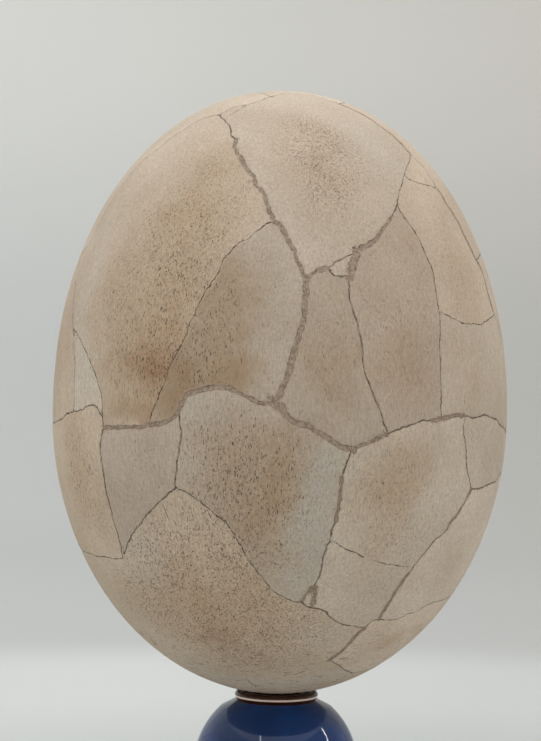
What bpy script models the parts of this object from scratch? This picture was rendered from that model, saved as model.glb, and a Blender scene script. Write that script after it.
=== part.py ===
"""Elephant bird egg, put together again from its broken pieces, resting on a small glazed stand.

Metres, +Z up. The origin is the middle of the stand's foot, on the surface that the stand is put on, and
the egg's long axis is the Z axis. The egg is one solid, with the seams between its glued pieces cut as
grooves. The stand is a turned, glazed pot with a rounded lip, a shallow seat inside it and a foot ring.
"""
import math

import bmesh
import bpy
from mathutils import Vector

# Egg: a body of revolution, its upper and lower halves two superellipses that meet at the widest girth
EGG_RADIUS = 0.1127
EGG_UPPER_HEIGHT = 0.1584
EGG_LOWER_HEIGHT = 0.1400
EGG_UPPER_POWER = 2.06
EGG_LOWER_POWER = 2.01
EGG_SIDES = 42
EGG_RINGS = 26

# Height of the egg's lower pole above the foot
SEAT_HEIGHT = 0.070
EGG_MIDDLE = SEAT_HEIGHT + EGG_LOWER_HEIGHT

# Seams: half the width of each kind of groove, the least distance between a groove's corners, and the
# length of a straight stretch
WIDE = 0.0013
NARROW = 0.0008
CHIP = 0.0023
SEAM_SPACING = 0.015
SEAM_STRETCH = 0.019

# Stand, with heights measured down from the egg's lower pole
GAP = 0.0003
LIP_RADIUS = 0.0183
LIP_THICKNESS = 0.0024
LIP_DROP = 0.00065 + GAP
SEAT_DEPTH = 0.0022
NECK_RADIUS = 0.0198
NECK_DROP = 0.0029
BODY_RADIUS = 0.0411
BODY_DROP = 0.0374
SHOULDER_DROP = 0.0066
FOOT_RADIUS = 0.0315
FOOT_HEIGHT = 0.0050
FOOT_EDGE = 0.0006
FOOT_INNER_RADIUS = 0.0245
FOOT_RECESS = 0.0020
STAND_SIDES = 40

# The viewpoint from which the seams of the front were read: its distance in front of the egg's axis, how
# steeply it looks down on the egg's lower pole, the point it looks at, its lean, and metres to a picture unit
EYE_DISTANCE = 1.25
EYE_RISE = math.radians(8.6)
EYE_LEAN = math.radians(0.67)
AIM_SIDE = -0.0048
AIM_HEIGHT = 0.2299
PICTURE_UNIT = 0.4955e-3
PICTURE_MIDDLE = (270.5, 370.5)

# Seams of the front, as points in the picture from that viewpoint: across, then down
FRONT_SEAMS = [
    (NARROW, [(271, 96), (260, 100), (247, 104), (238, 105), (226, 110), (219, 114)]),
    (NARROW, [(219, 114), (211, 114), (199, 119), (183, 129), (171, 136), (159, 147), (144, 158), (133, 168),
              (122, 183), (110, 200), (100, 218), (90, 239), (80, 258), (75, 280), (73, 305), (72, 328)]),
    (NARROW, [(72, 328), (73, 347), (73, 365), (73, 395), (73, 411)]),
    (NARROW, [(72, 328), (80, 340), (89, 360), (95, 375), (100, 392), (102, 417)]),
    (WIDE, [(219, 114), (230, 126), (232, 136), (240, 156), (247, 169), (257, 186), (268, 207), (273, 221),
            (283, 231), (291, 246), (297, 260), (306, 279)]),
    (NARROW, [(273, 221), (253, 234), (235, 246), (224, 257), (218, 274), (202, 298), (189, 323), (184, 338),
              (177, 352), (168, 368), (157, 400), (149, 424)]),
    (WIDE, [(306, 279), (318, 270), (336, 262), (357, 250), (377, 239), (387, 224), (396, 210), (398, 203)]),
    (NARROW, [(328, 267), (342, 276), (352, 275)]),
    (CHIP, [(357, 252), (352, 268), (348, 284)]),
    (NARROW, [(348, 284), (354, 313), (361, 338), (363, 366), (372, 391), (384, 421), (388, 434)]),
    (WIDE, [(306, 279), (306, 300), (303, 322), (294, 352), (290, 370), (280, 394), (273, 404)]),
    (CHIP, [(270, 399), (281, 411)]),
    (NARROW, [(53, 423), (66, 413), (82, 409), (92, 405), (102, 417)]),
    (WIDE, [(102, 417), (103, 427), (125, 427), (150, 425), (168, 421), (178, 412), (184, 398), (205, 389),
            (231, 388), (254, 401), (273, 404)]),
    (WIDE, [(273, 404), (287, 416), (305, 425), (328, 438), (352, 450)]),
    (WIDE, [(352, 450), (374, 441), (388, 434), (408, 426), (432, 421), (450, 417), (466, 416)]),
    (NARROW, [(466, 416), (484, 415), (497, 420), (506, 430)]),
    (NARROW, [(398, 203), (400, 190), (405, 175), (411, 153)]),
    (NARROW, [(405, 175), (417, 182), (437, 188)]),
    (NARROW, [(340, 103), (360, 112), (376, 122), (398, 139), (411, 153), (424, 166), (437, 188), (447, 203),
              (459, 222), (477, 260), (486, 280), (492, 304), (499, 325), (505, 360)]),
    (NARROW, [(398, 206), (406, 219), (418, 236), (431, 264), (436, 285), (440, 311)]),
    (NARROW, [(440, 311), (441, 335), (441, 378), (442, 418)]),
    (NARROW, [(440, 311), (463, 323), (482, 325), (494, 314)]),
    (NARROW, [(466, 416), (464, 428), (467, 460), (472, 489)]),
    (NARROW, [(472, 489), (490, 485), (502, 472)]),
    (WIDE, [(472, 489), (461, 509), (444, 532), (423, 556), (398, 590), (380, 620)]),
    (WIDE, [(380, 620), (365, 629), (350, 644), (328, 662)]),
    (NARROW, [(380, 620), (400, 619), (420, 611), (443, 601)]),
    (NARROW, [(328, 662), (352, 674)]),
    (WIDE, [(352, 450), (342, 478), (340, 500), (336, 522), (322, 565), (314, 586), (303, 603)]),
    (NARROW, [(332, 541), (356, 553), (384, 564), (408, 567)]),
    (NARROW, [(179, 412), (181, 432), (177, 462), (175, 488)]),
    (NARROW, [(175, 488), (192, 496), (212, 512), (235, 536), (249, 561), (270, 588), (303, 603)]),
    (WIDE, [(303, 603), (320, 610), (342, 625), (362, 629)]),
    (WIDE, [(175, 488), (158, 503), (138, 527), (122, 559)]),
    (NARROW, [(103, 427), (99, 450), (103, 475), (111, 512), (122, 559)]),
    (NARROW, [(122, 559), (103, 557), (80, 549)]),
]


def egg_profile(count):
    """Points (radius, height) of the egg's outline, from its upper pole to its lower one."""
    points = []
    for step in range(count + 1):
        angle = math.pi / 2 - math.pi * step / count
        upper = angle >= 0
        power = EGG_UPPER_POWER if upper else EGG_LOWER_POWER
        height = EGG_UPPER_HEIGHT if upper else EGG_LOWER_HEIGHT
        radius = EGG_RADIUS * max(math.cos(angle), 0.0) ** (2 / power)
        rise = math.copysign(height * abs(math.sin(angle)) ** (2 / power), angle)
        points.append((0.0 if step in (0, count) else radius, EGG_MIDDLE + rise))
    return points


def egg_measure(point):
    """How far outside the egg a point is: below zero inside, zero on the shell."""
    rise = point.z - EGG_MIDDLE
    power = EGG_UPPER_POWER if rise >= 0 else EGG_LOWER_POWER
    height = EGG_UPPER_HEIGHT if rise >= 0 else EGG_LOWER_HEIGHT
    across = math.hypot(point.x, point.y)
    return (across / EGG_RADIUS) ** power + (abs(rise) / height) ** power - 1.0


def onto_shell(point):
    """The point where the line from the egg's middle through a point meets the shell."""
    middle = Vector((0.0, 0.0, EGG_MIDDLE))
    way = (point - middle).normalized()
    near, far = 0.0, 0.3
    for _ in range(40):
        half = (near + far) / 2
        if egg_measure(middle + way * half) < 0:
            near = half
        else:
            far = half
    return middle + way * near


def from_picture(across, down):
    """The point of the shell that is seen at a place in the picture."""
    eye = Vector((0.0, -EYE_DISTANCE, SEAT_HEIGHT + EYE_DISTANCE * math.tan(EYE_RISE)))
    ahead = (Vector((AIM_SIDE, 0.0, AIM_HEIGHT)) - eye).normalized()
    level = ahead.cross(Vector((0.0, 0.0, 1.0))).normalized()
    upright = level.cross(ahead)
    right = level * math.cos(EYE_LEAN) + upright * math.sin(EYE_LEAN)
    up = upright * math.cos(EYE_LEAN) - level * math.sin(EYE_LEAN)
    unit = PICTURE_UNIT / EYE_DISTANCE
    ray = ahead + right * (across - PICTURE_MIDDLE[0]) * unit - up * (down - PICTURE_MIDDLE[1]) * unit
    ray.normalize()
    steps = 200
    reach = 0.26
    start = EYE_DISTANCE - reach / 2
    trials = [start + reach * step / steps for step in range(steps + 1)]
    inside = next((t for t in trials if egg_measure(eye + ray * t) <= 0), None)
    if inside is None:
        nearest = min(trials, key=lambda t: egg_measure(eye + ray * t))
        return onto_shell(eye + ray * nearest)
    outside = inside - reach / steps
    for _ in range(30):
        half = (inside + outside) / 2
        if egg_measure(eye + ray * half) <= 0:
            inside = half
        else:
            outside = half
    return eye + ray * inside


def around(turn, rise):
    """The point of the shell at a turn in degrees from the front towards +X, and a height above the foot."""
    low, high = 0.0, 2 * EGG_RADIUS
    turned = Vector((math.sin(math.radians(turn)), -math.cos(math.radians(turn)), 0.0))
    for _ in range(40):
        half = (low + high) / 2
        if egg_measure(turned * half + Vector((0.0, 0.0, rise))) < 0:
            low = half
        else:
            high = half
    return turned * low + Vector((0.0, 0.0, rise))


# Seams of the back, as turns in degrees from the front towards +X and heights above the foot in metres
BACK_SEAMS = [
    (WIDE, [(78.4, 0.2028), (95, 0.196), (112, 0.205), (130, 0.214), (150, 0.206), (168, 0.196)]),
    (WIDE, [(168, 0.196), (188, 0.201), (207, 0.212), (228, 0.203), (248, 0.198)]),
    (NARROW, [(248, 0.198), (265, 0.2035), (281.3, 0.2036)]),
    (NARROW, [(-11.3, 0.3631), (-40, 0.3668), (-130, 0.3668), (-155, 0.360)]),
    (NARROW, [(205, 0.360), (195, 0.345), (188, 0.325), (180, 0.303)]),
    (NARROW, [(48.4, 0.3606), (75, 0.3625), (110, 0.358), (130, 0.345), (138, 0.325), (133, 0.300)]),
    (WIDE, [(133, 0.300), (126, 0.275), (128, 0.245), (130, 0.214)]),
    (NARROW, [(180, 0.303), (165, 0.296), (148, 0.303), (133, 0.300)]),
    (WIDE, [(180, 0.303), (190, 0.280), (203, 0.262), (206, 0.240), (207, 0.212)]),
    (NARROW, [(203, 0.262), (222, 0.270), (240, 0.262), (256, 0.270), (270, 0.281), (284.1, 0.2884)]),
    (NARROW, [(256, 0.270), (262, 0.245), (255, 0.222), (248, 0.198)]),
    (NARROW, [(256, 0.270), (248, 0.295), (240, 0.320), (218, 0.345), (205, 0.360)]),
    (NARROW, [(80, 0.2368), (88, 0.218), (95, 0.196)]),
    (NARROW, [(69.9, 0.2851), (90, 0.290), (112, 0.283), (126, 0.275)]),
    (NARROW, [(80.6, 0.182), (92, 0.170), (108, 0.163), (113, 0.185), (112, 0.205)]),
    (NARROW, [(108, 0.163), (100, 0.140), (88, 0.125), (67.2, 0.1203)]),
    (WIDE, [(168, 0.196), (165, 0.170), (172, 0.148)]),
    (WIDE, [(172, 0.148), (160, 0.125), (140, 0.108), (118, 0.100)]),
    (NARROW, [(118, 0.100), (95, 0.092), (70, 0.086), (46.5, 0.0845)]),
    (NARROW, [(108, 0.163), (130, 0.155), (150, 0.142), (172, 0.148)]),
    (WIDE, [(172, 0.148), (195, 0.152), (215, 0.140), (235, 0.150), (258, 0.138), (280.6, 0.1419)]),
    (NARROW, [(248, 0.198), (240, 0.175), (228, 0.158), (215, 0.140)]),
    (NARROW, [(215, 0.140), (212, 0.115), (225, 0.095), (250, 0.083)]),
    (NARROW, [(118, 0.100), (150, 0.088), (185, 0.084), (212, 0.088), (225, 0.095)]),
]


def spaced(points):
    """A seam's points on the shell, with close ones left out and long stretches divided."""
    kept = [points[0]]
    for point in points[1:-1]:
        clear_of_last = (point - kept[-1]).length >= SEAM_SPACING
        clear_of_end = (point - points[-1]).length >= SEAM_SPACING
        if clear_of_last and clear_of_end:
            kept.append(point)
    kept.append(points[-1])
    route = [kept[0]]
    for start, end in zip(kept, kept[1:]):
        pieces = max(1, round((end - start).length / SEAM_STRETCH))
        for piece in range(1, pieces):
            route.append(onto_shell(start.lerp(end, piece / pieces)))
        route.append(end)
    return route


def finish(name):
    """A new Principled material and its shader node."""
    material = bpy.data.materials.new(name)
    material.use_nodes = True
    return material, material.node_tree.nodes["Principled BSDF"]


def shell_finish():
    """Old, matt, cream-brown eggshell."""
    material, shader = finish("eggshell")
    shader.inputs["Base Color"].default_value = (0.45, 0.36, 0.27, 1.0)
    shader.inputs["Roughness"].default_value = 0.75
    return material


def glaze_finish():
    """Dark blue, glossy glaze."""
    material, shader = finish("blue_glaze")
    shader.inputs["Base Color"].default_value = (0.008, 0.022, 0.11, 1.0)
    shader.inputs["Roughness"].default_value = 0.08
    return material


def turned(name, profile, sides, collection):
    """A body of revolution about Z from a profile at +X that runs down its outer side."""
    mesh = bpy.data.meshes.new(name)
    edges = [(index, index + 1) for index in range(len(profile) - 1)]
    mesh.from_pydata([(radius, 0.0, height) for radius, height in profile], edges, [])
    piece = bpy.data.objects.new(name, mesh)
    collection.objects.link(piece)
    screw = piece.modifiers.new("turn", "SCREW")
    screw.axis = "Z"
    screw.angle = 2 * math.pi
    screw.steps = sides
    screw.render_steps = sides
    screw.use_merge_vertices = True
    screw.merge_threshold = 0.00001
    screw.use_smooth_shade = True
    return piece


def groove_cutter(name, half_width, route, collection):
    """A closed tube along a seam, as a mesh that can be cut away."""
    curve = bpy.data.curves.new(name, "CURVE")
    curve.dimensions = "3D"
    curve.bevel_depth = half_width
    curve.bevel_resolution = 1
    curve.use_fill_caps = True
    line = curve.splines.new("POLY")
    line.points.add(len(route) - 1)
    for point, place in zip(line.points, route):
        point.co = (place.x, place.y, place.z, 1.0)
    tube = bpy.data.objects.new(name + "_route", curve)
    collection.objects.link(tube)
    bpy.context.view_layer.update()
    evaluated = tube.evaluated_get(bpy.context.evaluated_depsgraph_get())
    mesh = bpy.data.meshes.new_from_object(evaluated)
    shape = bmesh.new()
    shape.from_mesh(mesh)
    bmesh.ops.remove_doubles(shape, verts=shape.verts, dist=0.00001)
    shape.to_mesh(mesh)
    shape.free()
    cutter = bpy.data.objects.new(name, mesh)
    cutter.matrix_world = tube.matrix_world
    collection.objects.link(cutter)
    bpy.data.objects.remove(tube)
    cutter.hide_render = True
    cutter.display_type = "WIRE"
    return cutter


def make_egg(parts, cutters):
    """The egg, with a groove for each seam between its glued pieces."""
    egg = turned("egg", egg_profile(EGG_RINGS), EGG_SIDES, parts)
    egg.data.materials.append(shell_finish())
    seams = [(width, [from_picture(*place) for place in places]) for width, places in FRONT_SEAMS]
    seams += [(width, [around(*place) for place in places]) for width, places in BACK_SEAMS]
    for number, (half_width, places) in enumerate(seams):
        groove_cutter(f"seam_{number:02d}", half_width, spaced(places), cutters)
    grooves = egg.modifiers.new("grooves", "BOOLEAN")
    grooves.operation = "DIFFERENCE"
    grooves.solver = "EXACT"
    grooves.operand_type = "COLLECTION"
    grooves.collection = cutters
    return egg


def arc(centre_radius, centre_drop, radius, first, last, steps):
    """Profile points (radius, height) on an arc, its angles in degrees from +X towards +Z."""
    points = []
    for step in range(steps + 1):
        angle = math.radians(first + (last - first) * step / steps)
        height = SEAT_HEIGHT - centre_drop + radius * math.sin(angle)
        points.append((centre_radius + radius * math.cos(angle), height))
    return points


def make_stand(parts):
    """The glazed pot under the egg: lip, globe and foot ring, turned as one piece."""
    shoulder = math.degrees(math.asin((BODY_DROP - SHOULDER_DROP) / BODY_RADIUS))
    ankle = math.degrees(math.asin((FOOT_HEIGHT - SEAT_HEIGHT + BODY_DROP) / BODY_RADIUS))
    seat_floor = SEAT_HEIGHT - SEAT_DEPTH
    seat_edge = LIP_RADIUS - LIP_THICKNESS
    profile = [(0.0, seat_floor), (seat_edge - 0.001, seat_floor)]
    profile += arc(LIP_RADIUS, LIP_DROP, LIP_THICKNESS, 190, -35, 8)
    profile.append((NECK_RADIUS, SEAT_HEIGHT - NECK_DROP))
    profile += arc(0.0, BODY_DROP, BODY_RADIUS, shoulder, ankle, 11)
    profile += [
        (FOOT_RADIUS, FOOT_HEIGHT - FOOT_EDGE),
        (FOOT_RADIUS, FOOT_EDGE),
        (FOOT_RADIUS - FOOT_EDGE, 0.0),
        (FOOT_INNER_RADIUS + FOOT_EDGE, 0.0),
        (FOOT_INNER_RADIUS, FOOT_RECESS),
        (0.0, FOOT_RECESS),
    ]
    stand = turned("stand", profile, STAND_SIDES, parts)
    stand.data.materials.append(glaze_finish())
    return stand


def clear_scene():
    """Take away whatever the file opened with."""
    for item in list(bpy.data.objects):
        bpy.data.objects.remove(item)


def collection_named(name):
    """A new collection in the scene."""
    collection = bpy.data.collections.new(name)
    bpy.context.scene.collection.children.link(collection)
    return collection


def main():
    """Build the egg and its stand."""
    clear_scene()
    parts = collection_named("elephant_bird_egg")
    cutters = collection_named("cutters")
    make_egg(parts, cutters)
    make_stand(parts)


main()
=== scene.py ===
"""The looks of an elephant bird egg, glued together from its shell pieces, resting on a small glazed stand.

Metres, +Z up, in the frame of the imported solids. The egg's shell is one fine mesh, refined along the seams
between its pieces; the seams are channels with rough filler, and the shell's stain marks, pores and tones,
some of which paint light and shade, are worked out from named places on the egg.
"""
import heapq
import logging
import math
from collections.abc import Callable
from dataclasses import dataclass, field
from enum import Enum

import bpy
import numpy as np
from mathutils import Matrix, Vector, kdtree, noise


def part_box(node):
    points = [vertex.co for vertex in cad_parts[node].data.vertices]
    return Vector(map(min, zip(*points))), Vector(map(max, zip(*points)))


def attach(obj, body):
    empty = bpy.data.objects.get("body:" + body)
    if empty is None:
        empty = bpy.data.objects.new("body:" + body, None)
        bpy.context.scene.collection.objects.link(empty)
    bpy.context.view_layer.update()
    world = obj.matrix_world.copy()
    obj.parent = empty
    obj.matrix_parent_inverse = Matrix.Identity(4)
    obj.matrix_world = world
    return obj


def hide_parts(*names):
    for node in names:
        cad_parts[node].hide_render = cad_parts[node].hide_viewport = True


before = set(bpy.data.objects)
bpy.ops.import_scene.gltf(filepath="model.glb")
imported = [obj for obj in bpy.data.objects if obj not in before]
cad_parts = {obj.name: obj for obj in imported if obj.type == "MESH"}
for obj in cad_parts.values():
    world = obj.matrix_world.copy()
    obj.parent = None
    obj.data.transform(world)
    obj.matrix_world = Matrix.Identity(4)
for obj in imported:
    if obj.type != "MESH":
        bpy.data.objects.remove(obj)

LOG = logging.getLogger("egg")
MM = 0.001
Point = tuple[float, float]
Colour = tuple[float, float, float]


def linear(colour: Colour) -> Colour:
    """Turn a display colour with channels of 0 to 255 into a linear one.

    Args:
        colour: Red, green and blue as a screen shows them.

    Returns:
        The same colour with linear channels of 0 to 1.
    """
    shares = [channel / 255 for channel in colour]
    return tuple(s / 12.92 if s <= 0.04045 else ((s + 0.055) / 1.055) ** 2.4 for s in shares)


def unit(vectors: np.ndarray) -> np.ndarray:
    """Scale rows of three numbers, or one such row, to a length of one."""
    return vectors / np.maximum(np.linalg.norm(vectors, axis=-1, keepdims=True), 1e-12)


def smooth(low: float, high: float, values: np.ndarray) -> np.ndarray:
    """Rise smoothly from 0 to 1 as values go from low to high, which may be below low for a fall."""
    share = np.clip((values - low) / (high - low), 0.0, 1.0)
    return share * share * (3 - 2 * share)


def grain(points: np.ndarray, size: float, seed: float = 0.0) -> np.ndarray:
    """Smooth noise of about -1 to 1, of a given size in metres; each seed gives another pattern."""
    shifted = points / size + seed * 17.3
    return np.array([noise.noise(Vector(row)) for row in shifted])


@dataclass(frozen=True)
class EggForm:
    """The egg's true shape: two half superellipses of revolution that meet at the girth."""

    radius: float
    upper: float
    lower: float
    middle: float
    upper_power: float = 2.06
    lower_power: float = 2.01

    @classmethod
    def from_frame(cls, lower: float = 0.1400) -> "EggForm":
        """Read the egg's size and place from its solid, for a lower half of a given height."""
        low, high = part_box("egg")
        return cls((high[0] - low[0]) / 2, high[2] - low[2] - lower, lower, low[2] + lower)

    def sizes(self, rise: np.ndarray) -> tuple[np.ndarray, np.ndarray]:
        """Half height and power of the half that each rise above the girth lies in."""
        above = rise >= 0
        return np.where(above, self.upper, self.lower), np.where(above, self.upper_power, self.lower_power)

    def measure(self, points: np.ndarray) -> np.ndarray:
        """Say how far outside the shell points are.

        Args:
            points: Rows of three coordinates.

        Returns:
            Below zero inside the egg, zero on its shell.
        """
        rise = points[:, 2] - self.middle
        height, power = self.sizes(rise)
        across = np.hypot(points[:, 0], points[:, 1])
        return (across / self.radius) ** power + (np.abs(rise) / height) ** power - 1.0

    def onto(self, points: np.ndarray) -> np.ndarray:
        """Move points onto the shell, along lines from the egg's middle.

        Args:
            points: Rows of three coordinates.

        Returns:
            The points on the shell.
        """
        middle = np.array([0.0, 0.0, self.middle])
        way = unit(points - middle)
        height, power = self.sizes(way[:, 2])
        across = np.hypot(way[:, 0], way[:, 1])
        reach = ((across / self.radius) ** power + (np.abs(way[:, 2]) / height) ** power) ** (-1 / power)
        return middle + way * reach[:, None]

    def normals(self, points: np.ndarray) -> np.ndarray:
        """Directions square to the shell.

        Args:
            points: Places on the shell.

        Returns:
            One outward direction for each place.
        """
        rise = points[:, 2] - self.middle
        height, power = self.sizes(rise)
        across = np.maximum(np.hypot(points[:, 0], points[:, 1]), 1e-9)
        side = across ** (power - 1) / self.radius ** power
        up = np.sign(rise) * np.abs(rise) ** (power - 1) / height ** power
        return unit(np.stack([points[:, 0] / across * side, points[:, 1] / across * side, up], 1))

    def around(self, turn: float, rise: float) -> np.ndarray:
        """Find a place by its turn and height.

        Args:
            turn: Degrees from -Y towards +X.
            rise: Height above the foot, in metres.

        Returns:
            The place on the shell.
        """
        height, power = self.sizes(np.array([rise - self.middle]))
        share = 1 - (abs(rise - self.middle) / height[0]) ** power[0]
        across = self.radius * max(share, 0.0) ** (1 / power[0])
        angle = math.radians(turn)
        return np.array([across * math.sin(angle), -across * math.cos(angle), rise])


@dataclass(frozen=True)
class Viewpoint:
    """Where the object is seen from, with the picture's scale at the egg's axis.

    Sight lines are searched for the shell some way before and behind that axis. A place whose second number
    is under the tallest height in metres is a turn and a height, not a picture point.
    """

    seat: float
    distance: float = 1.25
    rise: float = math.radians(8.6)
    lean: float = math.radians(0.67)
    aim_side: float = -0.0048
    aim_height: float = 0.2299
    picture_unit: float = 0.4955e-3
    picture_size: Point = (541, 741)
    search: float = 0.13
    search_steps: int = 2601
    tallest: float = 1.0

    def axes(self) -> tuple[np.ndarray, np.ndarray, np.ndarray, np.ndarray]:
        """The eye's place and its right, up and ahead directions."""
        eye = np.array([0.0, -self.distance, self.seat + self.distance * math.tan(self.rise)])
        ahead = unit(np.array([self.aim_side, 0.0, self.aim_height]) - eye)
        level = unit(np.cross(ahead, [0.0, 0.0, 1.0]))
        upright = np.cross(level, ahead)
        right = level * math.cos(self.lean) + upright * math.sin(self.lean)
        up = upright * math.cos(self.lean) - level * math.sin(self.lean)
        return eye, right, up, ahead

    def sight(self, point: Point) -> tuple[np.ndarray, np.ndarray]:
        """Follow the sight line of a picture point.

        Args:
            point: Picture units from the left and from the top.

        Returns:
            The eye's place and the line's direction.
        """
        eye, right, up, ahead = self.axes()
        scale = self.picture_unit / self.distance
        half = (self.picture_size[0] / 2, self.picture_size[1] / 2)
        return eye, unit(ahead + right * (point[0] - half[0]) * scale - up * (point[1] - half[1]) * scale)

    def place(self, form: EggForm, point: Point) -> np.ndarray:
        """Find a named place of the shell.

        Args:
            form: The egg's shape.
            point: A picture point, or a turn from the front and a height, which is under a metre.

        Returns:
            The place on the shell, or the nearest one for a picture point just outside the outline.
        """
        if point[1] < self.tallest:
            return form.around(*point)
        eye, ray = self.sight(point)
        reach = np.linspace(self.distance - self.search, self.distance + self.search, self.search_steps)
        trail = eye + ray * reach[:, None]
        outside = form.measure(trail)
        inside = np.nonzero(outside <= 0)[0]
        index = inside[0] if len(inside) else int(outside.argmin())
        return form.onto(trail[index:index + 1])[0]

    def focal(self, sensor: float) -> float:
        """Focal length in millimetres for a sensor whose long side is given."""
        return self.distance / self.picture_unit / self.picture_size[1] * sensor


class SeamKind(Enum):
    """Half width and depth of a seam, in millimetres, and how far it strays from its drawn line."""

    BLOT = (2.1, 0.34, 0.30)
    BROAD = (1.25, 0.34, 0.35)
    WIDE = (0.90, 0.30, 0.35)
    MEDIUM = (0.41, 0.20, 0.30)
    NARROW = (0.27, 0.12, 0.25)
    HAIR = (0.15, 0.05, 0.22)

    @property
    def half(self) -> float:
        """Half width in metres."""
        return self.value[0] * MM

    @property
    def depth(self) -> float:
        """Depth in metres."""
        return self.value[1] * MM

    @property
    def jag(self) -> float:
        """How far small jags stray from the drawn line, in metres."""
        return self.value[2] * MM


BLOT, BROAD, WIDE = SeamKind.BLOT, SeamKind.BROAD, SeamKind.WIDE
MEDIUM, NARROW, HAIR = SeamKind.MEDIUM, SeamKind.NARROW, SeamKind.HAIR

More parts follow.
